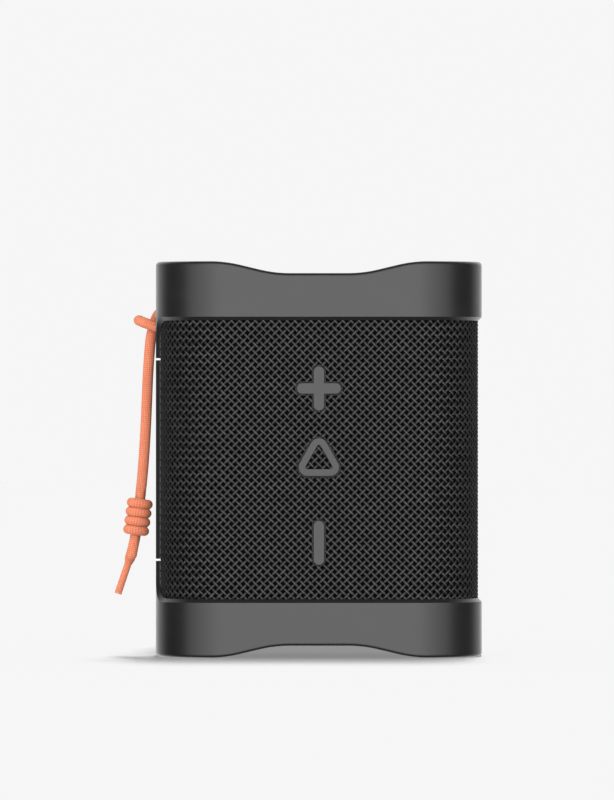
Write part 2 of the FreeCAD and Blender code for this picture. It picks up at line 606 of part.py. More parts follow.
def cord(name, points, r):
    wire, length, radii = rounded_route(points)
    profile = Part.Wire([Part.makeCircle(r, points[0], points[1] - points[0])])
    solid = wire.makePipeShell([profile], True, False)
    share = solid.Volume / (math.pi * r * r * length)
    print(f"{name}: length {length:.1f}, volume over section x length {share:.4f}, radii",
          " ".join(f"{x:.1f}" for x in radii))
    export(name, solid)


def strand_route(side):
    """From the middle of the bight, under, behind and over the bar, and down to the knot."""
    points = [V(-54.9, 0, 102.3), V(-54.9, 2.7 * side, 102.3), V(-52.6, 4.9 * side, 101.3)]
    sideways = (4.9, 4.6, 3.9, 3.1, 2.3, 1.8, 1.65)
    for k, y in enumerate(sideways):
        angle = math.radians(-112.5 + 45 * k)
        reach = WRAP_R / math.cos(math.radians(22.5))
        points.append(V(BAR_AT.x + reach * math.cos(angle), y * side, BAR_AT.z + reach * math.sin(angle)))
    for x, z in ((-50.5, 100.2), (-51.32, 96.8), (-51.7, 92.0), (-52.15, 85.5), (-52.5, 76.5), (-52.95, 66.5),
                 (-53.6, 57.0)):
        points.append(V(x, STRAND_Y * side, z))
    points.append(KNOT_TOP + V(0, STRAND_Y * side, 0))
    return points


def tail_route(side):
    start = KNOT_BOTTOM + V(0, STRAND_Y * side, 0)
    if side < 0:
        return [start, V(-56.55, -1.7, 33.6), V(-57.35, -1.6, 30.2)]
    return [start, V(-56.55, 1.6, 33.6), V(-57.45, 1.5, 30.2), V(-58.75, 1.2, 26.2), V(-60.9, 0.9, 19.9)]


def build_knot():
    axis = KNOT_BOTTOM - KNOT_TOP
    length = axis.Length
    axis.normalize()
    pieces = [Part.makeCylinder(KNOT_CORE_R, length, KNOT_TOP, axis)]
    margin = KNOT_TUBE_R - 0.1
    pitch = (length - 2 * margin) / (KNOT_TURNS - 1)
    for k in range(KNOT_TURNS):
        middle = KNOT_TOP + axis * (margin + pitch * k)
        pieces.append(Part.makeTorus(KNOT_R - KNOT_TUBE_R, KNOT_TUBE_R, middle, axis))
    export("lanyard_knot", fuse(pieces))


def build_lanyard():
    for name, side in (("front", -1), ("back", 1)):
        cord(f"lanyard_strand_{name}", strand_route(side), CORD_R)
    cord("lanyard_tail_front", tail_route(-1), CORD_R)
    cord("lanyard_tail_back", tail_route(1), TAIL_R)
    build_knot()
    cup = pocket_block(CUP_WALL, CUP_FACE, POCKET_FLOOR + 1.0).cut(pocket_block(0, -60, POCKET_FLOOR))
    export("lanyard_cup", cup.cut(rod("Y", BAR_AT, BAR_RADIUS + 0.02, -20, 20)))
    export("lanyard_bar", rod("Y", BAR_AT, BAR_RADIUS, -BAR_HALF, BAR_HALF))


def main():
    os.makedirs("parts", exist_ok=True)
    shell, marks = build_shell()
    export("shell_frame", shell)
    export("side_marks", marks)
    openings = key_openings()
    export("grille_fabric", build_fabric(openings))
    export("grille_carrier", build_carrier(openings))
    for name, solid in zip(("front_housing", "rear_housing", "housing_seal"), build_housings()):
        export(name, solid)
    export("housing_screws", build_screws())
    for side, x in (("left", -DRIVER_X), ("right", DRIVER_X)):
        build_driver(side, x)
    build_radiator()
    build_front_keys()
    build_side_keys()
    build_port()
    build_boards()
    build_lanyard()


main()
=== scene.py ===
import math

import bpy
import numpy as np
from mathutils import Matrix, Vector
from mathutils.geometry import tessellate_polygon


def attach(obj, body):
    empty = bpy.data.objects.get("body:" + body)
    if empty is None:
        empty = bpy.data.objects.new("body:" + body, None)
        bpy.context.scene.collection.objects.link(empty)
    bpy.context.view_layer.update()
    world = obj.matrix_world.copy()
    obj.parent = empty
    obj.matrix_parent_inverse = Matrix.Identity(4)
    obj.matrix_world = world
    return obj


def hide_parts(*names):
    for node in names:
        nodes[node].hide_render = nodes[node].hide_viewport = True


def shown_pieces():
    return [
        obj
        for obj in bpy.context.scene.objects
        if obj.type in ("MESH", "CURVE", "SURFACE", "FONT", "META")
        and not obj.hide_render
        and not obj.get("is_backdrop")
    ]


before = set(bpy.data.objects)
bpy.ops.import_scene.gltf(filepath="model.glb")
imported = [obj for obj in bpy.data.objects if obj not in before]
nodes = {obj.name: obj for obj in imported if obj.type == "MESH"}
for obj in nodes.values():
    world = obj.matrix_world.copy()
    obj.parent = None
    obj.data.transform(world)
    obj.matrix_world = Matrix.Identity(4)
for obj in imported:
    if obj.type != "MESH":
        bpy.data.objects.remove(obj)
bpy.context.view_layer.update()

MM = 0.001
scene = bpy.context.scene

# ---- camera: level, straight on to the front ----
camera = bpy.data.objects.new("camera", bpy.data.cameras.new("camera"))
scene.collection.objects.link(camera)
camera.location = (-0.0036, -3.028, 0.0780)
camera.rotation_euler = (math.radians(90), 0, 0)
camera.data.lens = 446.6
camera.data.sensor_width = 36
camera.data.clip_end = 50
scene.camera = camera
scene.view_settings.view_transform = "Standard"


# ---- materials ----
class Finish:
    """A material built up from noise, so that its colour, roughness and relief all vary a little."""

    def __init__(self, name, colour, rough, metallic=0.0, specular=0.5):
        self.material = bpy.data.materials.new(name)
        self.material.use_nodes = True
        self.tree = self.material.node_tree
        self.shader = self.tree.nodes["Principled BSDF"]
        self.shader.inputs["Metallic"].default_value = metallic
        self.shader.inputs["Specular IOR Level"].default_value = specular
        self.colour, self.rough = colour, rough
        self.height = None
        self.coords = self.add("ShaderNodeTexCoord").outputs["Object"]

    def add(self, kind, **settings):
        node = self.tree.nodes.new(kind)
        for key, value in settings.items():
            if hasattr(node, key):
                setattr(node, key, value)
            else:
                node.inputs[key.replace("_", " ")].default_value = value
        return node

    def link(self, source, target):
        self.tree.links.new(source, target)
        return self

    def noise(self, scale, detail=3.0, stretch=None, coords=None):
        node = self.add("ShaderNodeTexNoise", Scale=scale, Detail=detail)
        source = coords or self.coords
        if stretch:
            mapping = self.add("ShaderNodeMapping", Scale=stretch)
            self.link(source, mapping.inputs["Vector"])
            source = mapping.outputs["Vector"]
        self.link(source, node.inputs["Vector"])
        return node.outputs["Fac"]

    def spread(self, source, low, high, first=0.3, last=0.7):
        node = self.add("ShaderNodeMapRange")
        for key, value in (("From Min", first), ("From Max", last), ("To Min", low), ("To Max", high)):
            node.inputs[key].default_value = value
        self.link(source, node.inputs["Value"])
        return node.outputs["Result"]

    def math(self, operation, a, b=None):
        node = self.add("ShaderNodeMath", operation=operation)
        for i, value in enumerate((a, b)):
            if value is None:
                continue
            if isinstance(value, (int, float)):
                node.inputs[i].default_value = value
            else:
                self.link(value, node.inputs[i])
        return node.outputs[0]

    def blend(self, factor, a, b):
        """Colour between a and b; each is a colour or a socket."""
        node = self.add("ShaderNodeMix", data_type="RGBA")
        self.link(factor, node.inputs["Factor"])
        for value, socket in ((a, node.inputs[6]), (b, node.inputs[7])):
            if isinstance(value, tuple):
                socket.default_value = (*value, 1.0)
            else:
                self.link(value, socket)
        return node.outputs[2]

    def tint(self, factor, share):
        """The base colour, a share darker to a share lighter as factor goes from 0 to 1."""
        low, high = (tuple(c * (1 + k * share) for c in self.colour) for k in (-1, 1))
        return self.blend(self.spread(factor, 0.0, 1.0), low, high)

    def relief(self, height, distance, strength=1.0):
        """Adds a bump layer; distance is the relief's depth in metres."""
        node = self.add("ShaderNodeBump", Distance=distance, Strength=strength)
        self.link(height, node.inputs["Height"])
        if self.height:
            self.link(self.height, node.inputs["Normal"])
        self.height = node.outputs["Normal"]
        return self

    def done(self, colour, rough):
        self.link(colour, self.shader.inputs["Base Color"])
        self.link(rough, self.shader.inputs["Roughness"])
        if self.height:
            self.link(self.height, self.shader.inputs["Normal"])
        return self.material


def moulded(name, colour, rough, share=0.1, grain=5200, depth=4e-6, metallic=0.0, specular=0.5, stretch=None):
    """Moulded, cast or drawn stuff: cloudy colour, uneven gloss and a fine grain."""
    f = Finish(name, colour, rough, metallic, specular)
    cloud = f.noise(70, 4)
    fine = f.noise(grain, 2, stretch)
    f.relief(fine, depth)
    return f.done(f.tint(cloud, share), f.spread(f.noise(190, 5, stretch), rough - 0.03, rough + 0.04))


def paint(material, *names):
    for name in names:
        nodes[name].data.materials.clear()
        nodes[name].data.materials.append(material)


SHELL_GREY = (0.0105, 0.0105, 0.0107)


def shell_material():
    """Dark grey soft-touch plastic, spark-eroded grain with faint wipes."""
    f = Finish("shell_plastic", SHELL_GREY, 0.36, specular=0.5)
    grain = f.noise(3800, 3)
    f.relief(grain, 5e-6, 0.6)
    f.relief(f.noise(240, 2), 2e-5, 0.15)
    wipes = f.noise(60, 5, (1.0, 1.0, 3.0))
    colour = f.tint(wipes, 0.08)
    return f.done(colour, f.spread(wipes, 0.345, 0.385))


def cord_material(name, turns, rows):
    """Braided cord: a fine grid of yarns, as many as turns round the cord and rows along it, with painted
    shade in the grooves between them.
    """
    f = Finish(name, (0.72, 0.245, 0.132), 0.75, specular=0.2)
    uv = f.add("ShaderNodeUVMap").outputs["UV"]
    parts = f.add("ShaderNodeSeparateXYZ")
    f.link(uv, parts.inputs["Vector"])
    along, around = parts.outputs[0], parts.outputs[1]
    a = f.math("MULTIPLY", along, rows)
    b = f.math("MULTIPLY", around, turns)
    one = f.math("SINE", f.math("MULTIPLY", a, math.pi))
    two = f.math("SINE", f.math("MULTIPLY", b, math.pi))
    yarn = f.math("ABSOLUTE", f.math("MULTIPLY", one, two))
    fuzz = f.noise(2600, 4)
    f.relief(f.math("POWER", yarn, 0.5), 1.0e-4, 0.6)
    f.relief(fuzz, 4e-5, 0.4)
    worn = f.tint(f.noise(160, 3), 0.06)
    # painted shade: a darker colour in the sunken grooves between the yarns
    colour = f.blend(f.spread(yarn, 0.0, 1.0, 0.05, 0.6), (0.50, 0.100, 0.045), worn)
    colour = f.blend(f.spread(fuzz, 0.0, 0.3), colour, (0.78, 0.38, 0.245))
    f.shader.inputs["Subsurface Weight"].default_value = 0.5
    f.shader.inputs["Subsurface Radius"].default_value = (1.0, 0.4, 0.25)
    f.shader.inputs["Subsurface Scale"].default_value = 0.0012
    return f.done(colour, f.spread(fuzz, 0.65, 0.9))


# ---- lanyard: one cord hitched round the bar, given as its two halves from the middle of the bight ----
CORD_R, TAIL_R = 1.6 * MM, 1.08 * MM
STRAND_Y = 1.65
KNOT_TOP, KNOT_BOTTOM = Vector((-54.45, 0, 47.85)), Vector((-55.92, 0, 36.85))
BAR_X, BAR_Z, WRAP_R = -46.8, 102.5, 2.65
KNOT_TURNS = 4
WIND_R, WIND_TUBE = 2.62, 1.44 * MM
FIRST_WRAP, WRAP_PITCH = 1.4, 2.75
KNOT_FROM, KNOT_TO, WOUND_FROM, TAIL_BACK = 76.0, 94.0, 79.0, 17.7  # along the cords


def strand_points(side):
    """The route of one strand in millimetres, from the bight's middle, round the bar and down to the knot."""
    points = [Vector((-54.9, 0, 102.3)), Vector((-54.9, 2.7 * side, 102.3)),
              Vector((-52.6, 4.9 * side, 101.3))]
    reach = WRAP_R / math.cos(math.radians(22.5))
    for k, y in enumerate((4.9, 4.6, 3.9, 3.1, 2.3, 1.8, 1.65)):
        angle = math.radians(-112.5 + 45 * k)
        points.append(Vector((BAR_X + reach * math.cos(angle), y * side, BAR_Z + reach * math.sin(angle))))
    for x, z in ((-50.5, 100.2), (-51.32, 96.8), (-51.7, 92.0), (-52.15, 85.5), (-52.5, 76.5), (-52.95, 66.5),
                 (-53.6, 57.0)):
        points.append(Vector((x, STRAND_Y * side, z)))
    return points


def winding():
    """The four wraps of the knot: level at the front, stepping down one pitch behind."""
    axis = KNOT_BOTTOM - KNOT_TOP
    along = axis.normalized()
    across = Vector((-along.z, 0, along.x))
    steps = 20
    points = []
    for k in range(KNOT_TURNS * steps + 1):
        turn = k / steps
        level = sum(min(1.0, max(0.0, (turn - j + 0.22) / 0.44)) for j in range(1, KNOT_TURNS))
        angle = 2 * math.pi * turn + math.pi / 2
        centre = KNOT_TOP + along * (FIRST_WRAP + WRAP_PITCH * level)
        points.append(centre + across * (WIND_R * math.cos(angle)) + Vector((0, WIND_R * math.sin(angle), 0)))
    return points


def quadratic(points):
    """Points of the quadratic B-spline with this control polygon, closely spaced."""
    out = []
    mids = [points[0]] + [(a + b) / 2 for a, b in zip(points[1:-2], points[2:-1])] + [points[-1]]
    for start, corner, end in zip(mids, points[1:-1], mids[1:]):
        for k in range(24):
            t = k / 24
            out.append(start * (1 - t) ** 2 + corner * (2 * t * (1 - t)) + end * t * t)
    out.append(points[-1])
    return out


def even(points, step):
    """The same line as evenly spaced points, and its length."""
    p = np.array([tuple(q) for q in points])
    run = np.concatenate([[0], np.cumsum(np.linalg.norm(np.diff(p, axis=0), axis=1))])
    count = int(round(run[-1] / step))
    at = np.linspace(0, run[-1], count + 1)
    return np.stack([np.interp(at, run, p[:, i]) for i in range(3)], axis=1), run[-1]


def make_cord(name, points, radius_at, material):
    spots, length = even(quadratic(points), 0.8)
    curve = bpy.data.curves.new(name, "CURVE")
    curve.dimensions = "3D"
    spline = curve.splines.new("NURBS")
    spline.points.add(len(spots) - 1)
    for i, spot in enumerate(spots):
        share = i / (len(spots) - 1)
        spline.points[i].co = (*(spot * MM), 1.0)
        spline.points[i].radius = radius_at(share * length, length)
    spline.order_u = 3
    spline.use_endpoint_u = True
    spline.resolution_u = 3
    curve.bevel_depth = CORD_R
    curve.bevel_resolution = 6
    curve.use_fill_caps = True
    obj = bpy.data.objects.new(name, curve)
    scene.collection.objects.link(obj)
    obj.data.materials.append(material)
    return obj


def dome(left):
    """Radius factor near a cut end, so that the end is rounded."""
    return math.sqrt(max(0.05, 1 - max(0.0, 1 - left / 1.3) ** 2))


def ramp(way, over):
    """From 0 to 1 as way goes from nothing to over."""
    return min(1.0, max(0.0, way / over))


def front_radius(at, length):
    """Full, but pressed to three quarters inside the knot."""
    inside = ramp(min(at - KNOT_FROM, KNOT_TO - at), 2.0)
    return (1 - 0.25 * inside) * dome(length - at)


def back_radius(at, length):
    """Full down the strand, a little tighter in the wraps, and thin for the last part of the tail."""
    tail = length - TAIL_BACK
    wound = ramp(min(at - WOUND_FROM, tail - 1 - at), 3.0)
    thin = ramp(at - tail - 6.5, 1.5)
    full = 1 - (1 - WIND_TUBE / CORD_R) * wound
    return full * (1 - thin) + TAIL_R / CORD_R * thin


front_points = strand_points(-1) + [
    KNOT_TOP + Vector((0, -0.6, 0)), (KNOT_TOP + KNOT_BOTTOM) / 2, KNOT_BOTTOM + Vector((0, -0.9, 0)),
    Vector((-56.55, -1.7, 33.6)), Vector((-57.35, -1.6, 29.2))]
back_points = strand_points(1) + [KNOT_TOP + Vector((0, 1.7, 1.2))] + winding() + [
    KNOT_BOTTOM + Vector((0, 1.7, 0)), Vector((-56.55, 1.6, 33.6)), Vector((-57.45, 1.5, 30.2)),
    Vector((-58.85, 1.2, 26.2)), Vector((-61.3, 0.9, 18.9))]
cord_front = make_cord("lanyard_front", front_points, front_radius, cord_material("cord_front", 18, 170))
cord_back = make_cord("lanyard_back", back_points, back_radius, cord_material("cord_back", 18, 280))
for obj in (cord_front, cord_back):
    obj.visible_glossy = False
    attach(obj, "lanyard")
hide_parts("lanyard_strand_front", "lanyard_tail_front")
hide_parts("lanyard_strand_back", "lanyard_tail_back", "lanyard_knot")

# ---- woven grille ----
HALF_X, HALF_Y, WRAP_CORNER = 29.0, 7.4, 19.2      # flat parts and corner radius of the cloth's surface
CELL = 2.41                                       # diagonal of one mesh of the weave
LATTICE_Z = 69.42
LOW, HIGH = 17.70, 102.15
CORNER_ARC = WRAP_CORNER * math.pi / 2
SPINE_CUT = 2.30
OPEN_LOW, OPEN_HIGH = 17.75, 102.1
SPINE_HALF, SPINE_FLARE = 9.6, 7.0
WRAP_START = -HALF_X - CORNER_ARC + SPINE_CUT
WRAP_END = HALF_X + 3 * CORNER_ARC + 2 * HALF_Y + 2 * HALF_X - SPINE_CUT
THREAD_HALF_W, THREAD_TALL, CRIMP = 0.40, 0.26, 0.19
TOP_OUT = 0.30                                    # how far the crests stand out past the cloth's surface
PROFILE = np.radians([-25, 20, 65, 115, 160, 205])
SAMPLES = 4                                       # per crossing
RUN_STEP, SHORTEST = 0.2, 0.3                     # step in seeking a thread's ends, and least length kept


def wrap(s, z, out):
    """Points on the cloth: s is the way round from the front's middle, z the height, out the way off it."""
    s, z, out = np.broadcast_arrays(s, z, out)
    around = HALF_X * 4 + HALF_Y * 4 + 4 * CORNER_ARC
    s = np.mod(s + HALF_X, around)
    x, y, nx, ny = (np.zeros(s.shape) for _ in range(4))
    start = 0.0
    centres = ((HALF_X, -HALF_Y), (HALF_X, HALF_Y), (-HALF_X, HALF_Y), (-HALF_X, -HALF_Y))
    for k, (cx, cy) in enumerate(centres):
        run = 2 * HALF_X if k % 2 == 0 else 2 * HALF_Y
        angle = math.radians(-90 + 90 * k)
        flat = (s >= start) & (s < start + run)
        back = start + run - s
        tx, ty = -math.sin(angle), math.cos(angle)
        n0, n1 = math.cos(angle), math.sin(angle)
        x = np.where(flat, cx + n0 * WRAP_CORNER - tx * back, x)
        y = np.where(flat, cy + n1 * WRAP_CORNER - ty * back, y)
        nx, ny = np.where(flat, n0, nx), np.where(flat, n1, ny)
        start += run
        arc = (s >= start) & (s < start + CORNER_ARC)
        phi = angle + (s - start) / WRAP_CORNER
        c, d = np.cos(phi), np.sin(phi)
        x, y = np.where(arc, cx + WRAP_CORNER * c, x), np.where(arc, cy + WRAP_CORNER * d, y)
        nx, ny = np.where(arc, c, nx), np.where(arc, d, ny)
        start += CORNER_ARC
    return np.stack([x + nx * out, y + ny * out, z], axis=-1) * MM


# the front keys' outlines, as distances
BAR_REACH, BAR_R = 13.6 / 2 - 1.72, 1.72
PLUS_Z, PLAY_Z, MINUS_Z = 81.5, 54.9, 34.8
PLAY_W, PLAY_H, PLAY_R, PLAY_STROKE, KEY_GAP = 12.5, 11.7, 2.8, 2.3, 0.36


def to_segment(x, z, a, b):
    ax, az = a
    ex, ez = b[0] - ax, b[1] - az
    t = np.clip(((x - ax) * ex + (z - az) * ez) / (ex * ex + ez * ez), 0, 1)
    return np.hypot(x - ax - t * ex, z - az - t * ez)


PLAY_CORNERS = [(PLAY_R - PLAY_W / 2, PLAY_Z + PLAY_R), (PLAY_W / 2 - PLAY_R, PLAY_Z + PLAY_R),
                (0, PLAY_Z + PLAY_H - PLAY_R)]


def play_distance(x, z):
    """Distance from the play key's round-cornered triangle, less than nothing inside it."""
    corners = PLAY_CORNERS
    near = np.min([to_segment(x, z, corners[i], corners[(i + 1) % 3]) for i in range(3)], axis=0)
    inside = np.ones(np.shape(x), bool)
    for i in range(3):
        (ax, az), (bx, bz) = corners[i], corners[(i + 1) % 3]
        inside &= (bx - ax) * (z - az) - (bz - az) * (x - ax) >= 0
    return np.where(inside, -near, near) - PLAY_R


def key_distance(x, z):
    """Distance from the nearest front key's outline, less than nothing inside it."""
    plus = np.minimum(to_segment(x, z, (-BAR_REACH, PLUS_Z), (BAR_REACH, PLUS_Z)),
                      to_segment(x, z, (0, PLUS_Z - BAR_REACH), (0, PLUS_Z + BAR_REACH))) - BAR_R
    minus = to_segment(x, z, (0, MINUS_Z - BAR_REACH), (0, MINUS_Z + BAR_REACH)) - BAR_R
    return np.minimum(np.minimum(plus, minus), play_distance(x, z))


def thread_runs(lean, offset, wanted):
    """Where one thread is wanted: (first, last) values of u, twice its middle's rise.

    lean +1 threads rise to the right and keep z - s; lean -1 threads rise to the left and keep z + s."""
    u = np.arange(2 * LOW - offset, 2 * HIGH - offset + RUN_STEP, RUN_STEP)
    s, z = lean * (u - offset) / 2, (u + offset) / 2
    score = wanted(s, z)

    def edge(i):
        """Where the score passes zero between samples i - 1 and i."""
        return u[i - 1] + (u[i] - u[i - 1]) * score[i - 1] / (score[i - 1] - score[i])

    runs, start = [], None
    for i in range(len(u)):
        if score[i] > 0 and start is None:
            start = u[i] if i == 0 else edge(i)
        if start is not None and (score[i] <= 0 or i == len(u) - 1):
            end = u[i] if score[i] > 0 else edge(i)
            if end - start > SHORTEST:
                runs.append((start, end))
            start = None
    return runs


def thread_mesh(lean, offset, runs, verts, faces, uvs, base):
    """Adds one thread, an open round-backed strip that rises over one crossing and dips under the next."""
    number = round((offset - LATTICE_Z) / CELL - 0.5)
    wobble = 0.035 * math.sin(number * 12.9898)
    for first, last in runs:
        step = CELL / SAMPLES
        inner = LATTICE_Z + step * np.arange(math.ceil((first - LATTICE_Z) / step), (last - LATTICE_Z) / step)
        inner = inner[(inner > first + 0.08) & (inner < last - 0.08)]
        u = np.concatenate([[first], inner, [last]])
        phase = (u - LATTICE_Z) / CELL - 0.5
        parity = 0 if lean > 0 else 1
        crest = np.cos(math.pi * (phase + number + 1 + parity))
        soft = crest * (1.12 - 0.12 * crest * crest)
        s, z = lean * (u - offset) / 2, (u + offset) / 2
        sway = wobble + 0.025 * np.sin(u * 0.37 + number * 2.1)
        width = THREAD_HALF_W * (1 + 0.05 * np.sin(u * 0.61 + number))
        side = width[:, None] * np.cos(PROFILE)[None, :] + sway[:, None]
        out = (TOP_OUT - THREAD_TALL - CRIMP + CRIMP * soft)[:, None] + THREAD_TALL * np.sin(PROFILE)[None, :]
        root = math.sqrt(0.5)
        points = wrap(s[:, None] + side * root, z[:, None] - lean * side * root, out)
        rows, cols = points.shape[:2]
        index = base[0] + np.arange(rows * cols).reshape(rows, cols)
        quads = np.stack([index[:-1, :-1], index[:-1, 1:], index[1:, 1:], index[1:, :-1]], axis=-1)
        quads = quads.reshape(-1, 4)
        if lean < 0:
            quads = quads[:, ::-1]
        waves = (phase + number + 1 + parity) / 2
        uv = np.stack(np.broadcast_arrays(waves[:, None], PROFILE[None, :] / (2 * math.pi)), axis=-1)
        verts.append(points.reshape(-1, 3))
        faces.append(quads)
        uvs.append(uv.reshape(-1, 2))
        base[0] += rows * cols


def mesh_object(name, verts, faces, uv=None, smooth=True):
    mesh = bpy.data.meshes.new(name)
    verts, faces = np.asarray(verts, dtype=np.float32), np.asarray(faces, dtype=np.int32)
    mesh.vertices.add(len(verts))
    mesh.vertices.foreach_set("co", verts.ravel())
    sides = faces.shape[1]
    mesh.loops.add(faces.size)
    mesh.loops.foreach_set("vertex_index", faces.ravel())
    mesh.polygons.add(len(faces))
    mesh.polygons.foreach_set("loop_start", np.arange(len(faces), dtype=np.int32) * sides)
    mesh.polygons.foreach_set("use_smooth", np.full(len(faces), smooth))
    mesh.update(calc_edges=True)
    mesh.validate()
    if uv is not None:
        layer = mesh.uv_layers.new(name="UVMap")
        loops = np.empty(len(mesh.loops), dtype=np.int32)
        mesh.loops.foreach_get("vertex_index", loops)
        layer.data.foreach_set("uv", np.asarray(uv, dtype=np.float32)[loops].ravel())
    obj = bpy.data.objects.new(name, mesh)
    scene.collection.objects.link(obj)
    return obj


def weave(name, wanted, s_low, s_high, choose):
    """Every chosen thread of both families over this stretch of the wrap, as one mesh."""
    verts, faces, uvs, base = [], [], [], [0]
    for lean in (1, -1):
        lows = (LOW - s_high, HIGH - s_low) if lean > 0 else (LOW + s_low, HIGH + s_high)
        first, last = (math.floor((v - LATTICE_Z) / CELL) for v in lows)
        for number in range(first, last + 1):
            if not choose(lean, number):
                continue
            offset = LATTICE_Z + CELL * (number + 0.5)
            thread_mesh(lean, offset, thread_runs(lean, offset, wanted), verts, faces, uvs, base)
    return mesh_object(name, np.concatenate(verts), np.concatenate(faces), np.concatenate(uvs))


def spine_distance(s, z):
    """How far the cloth at (s, z) is from the spine and from the round corners where it meets the ends."""
    spot = wrap(s, z, np.zeros(np.shape(s))) / MM
    down = np.clip(SPINE_FLARE - np.minimum(z - OPEN_LOW, OPEN_HIGH - z), 0, SPINE_FLARE)
    half = SPINE_HALF + SPINE_FLARE - np.sqrt(SPINE_FLARE ** 2 - down ** 2)
    return np.where(spot[..., 0] < -40, np.abs(spot[..., 1]) - half - 0.1, 9.0)


def grille_wanted(s, z):
    edges = np.minimum(np.minimum(z - LOW, HIGH - z), np.minimum(s - WRAP_START, WRAP_END - s))
    keys = np.where(np.abs(s) < 12, key_distance(s, z) - KEY_GAP, 9.0)
    return np.minimum(np.minimum(edges, keys), spine_distance(s, z))


def patch_wanted(s, z):
    return -(play_distance(s, z) + PLAY_STROKE - 0.05)


def yarn_material():
    """Black multifilament yarn with a slow twist; a painted highlight where it rises over a crossing and
    painted shade where it dips under one.
    """
    f = Finish("weave_yarn", (0.047, 0.047, 0.0475), 0.5, metallic=0.7, specular=0.32)
    f.shader.inputs["Specular Tint"].default_value = (0.4, 0.4, 0.4, 1)
    uv = f.add("ShaderNodeUVMap").outputs["UV"]
    parts = f.add("ShaderNodeSeparateXYZ")
    f.link(uv, parts.inputs["Vector"])
    waves, round_it = parts.outputs[0], parts.outputs[1]
    twist = f.math("ADD", f.math("MULTIPLY", waves, 4.0), f.math("MULTIPLY", round_it, 14.0))
    ply = f.math("SINE", f.math("MULTIPLY", twist, 2 * math.pi))
    fibre = f.noise(3.0, 3, (7.0, 40.0, 1.0), uv)
    f.relief(ply, 1.0e-5, 0.5)
    f.relief(fibre, 2.0e-5, 0.5)
    # painted highlight on the crests and painted shade where the yarn dips under a crossing
    painted_crest_shading = f.spread(f.math("COSINE", f.math("MULTIPLY", waves, 2 * math.pi)), 0.0, 1.0, -0.9, 1.0)
    colour = f.blend(painted_crest_shading, (0.026, 0.026, 0.0263), f.tint(f.noise(260, 3), 0.22))
    return f.done(colour, f.spread(fibre, 0.34, 0.44))


def scrim_material():
    """Black acoustic cloth behind the weave, made almost lightless so that it also gives painted shade in the
    holes.
    """
    # near-black colour: black cloth, darkened further as painted shade for the holes
    f = Finish("scrim_cloth", (0.0016, 0.0016, 0.0017), 0.95, specular=0.05)
    fine = f.noise(9000, 2)
    f.relief(fine, 1e-5, 0.5)
    return f.done(f.tint(f.noise(400, 3), 0.3), f.spread(fine, 0.9, 1.0))


YARN, SCRIM = yarn_material(), scrim_material()
weave_pieces = []
for k in range(4):
    piece = weave(f"grille_weave_{k + 1}", grille_wanted, WRAP_START, WRAP_END,
                  lambda lean, number, k=k: (lean > 0) == (k < 2) and number % 2 == k % 2)
    weave_pieces.append(piece)
    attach(piece, "speaker")
patch_weave = weave("play_patch_weave", patch_wanted, -6, 6, lambda lean, number: True)
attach(patch_weave, "play_key")


def circle_outline(centres, r, steps=10):
    """Outline round circles given anticlockwise by their centres."""
    points = []
    count = len(centres)
    for i in range(count):
        before, at, after = (np.array(centres[(i + k) % count], float) for k in (-1, 0, 1))
        a0 = math.atan2(*(at - before)[::-1]) - math.pi / 2
        a1 = math.atan2(*(after - at)[::-1]) - math.pi / 2
        while a1 < a0:
            a1 += 2 * math.pi
        for k in range(steps + 1):
            a = a0 + (a1 - a0) * k / steps
            points.append((at[0] + r * math.cos(a), at[1] + r * math.sin(a)))
    return points


def plus_outline(r):
    bars = []
    for turn in range(4):
        c, d = round(math.cos(turn * math.pi / 2)), round(math.sin(turn * math.pi / 2))
        for k in range(11):
            a = math.radians(-90 + 18 * k)
            px, pz = BAR_REACH + r * math.cos(a), r * math.sin(a)
            bars.append((c * px - d * pz, PLUS_Z + d * px + c * pz))
        bars.append((c * r - d * r, PLUS_Z + d * r + c * r))
    return bars


def build_scrim():
    """Thin black cloth right round the body, cut out for the keys; its near-black colour is partly painted
    shade in the weave's holes.
    """
    inset_out = -0.53
    grow = KEY_GAP + 0.05
    reach = BAR_REACH
    holes = [plus_outline(BAR_R + grow),
             circle_outline(PLAY_CORNERS, PLAY_R + grow),
             circle_outline([(0, MINUS_Z - reach), (0, MINUS_Z + reach)], BAR_R + grow)]
    front = [(-HALF_X, LOW), (HALF_X, LOW), (HALF_X, HIGH), (-HALF_X, HIGH)]
    loops = [front] + [h[::-1] for h in holes]
    flat = [p for loop in loops for p in loop]
    tris = tessellate_polygon([[Vector((x, z, 0)) for x, z in loop] for loop in loops])
    verts = [tuple(wrap(np.array(x), np.array(z), np.array(inset_out))) for x, z in flat]
    faces = [tuple(t) for t in tris]
    rows = [LOW + (HIGH - LOW) * k / 24 for k in range(25)]
    for s0, s1 in ((WRAP_START, -HALF_X), (HALF_X, WRAP_END)):
        cuts = np.linspace(s0, s1, int((s1 - s0) / 1.2) + 2)
        base = len(verts)
        for s in cuts:
            verts += [tuple(p) for p in wrap(np.full(25, s), np.array(rows), np.full(25, inset_out))]
        for i in range(len(cuts) - 1):
            for j in range(24):
                a = base + i * 25 + j
                faces.append((a, a + 25, a + 26, a + 1))
    mesh = bpy.data.meshes.new("grille_scrim")
    mesh.from_pydata(verts, [], faces)
    mesh.update()
    obj = bpy.data.objects.new("grille_scrim", mesh)
    scene.collection.objects.link(obj)
    return obj


scrim = build_scrim()
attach(scrim, "speaker")
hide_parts("grille_fabric")


def plate(name, outline, front_y, back_y):
    """A flat plate with this outline in X and Z."""
    count = len(outline)
    verts = [(x * MM, y * MM, z * MM) for y in (front_y, back_y) for x, z in outline]
    faces = [tuple(range(count))[::-1], tuple(range(count, 2 * count))]
    faces += [(i, (i + 1) % count, count + (i + 1) % count, count + i) for i in range(count)]
    mesh = bpy.data.meshes.new(name)
    mesh.from_pydata(verts, [], faces)
    mesh.update()
    obj = bpy.data.objects.new(name, mesh)
    scene.collection.objects.link(obj)
    return obj


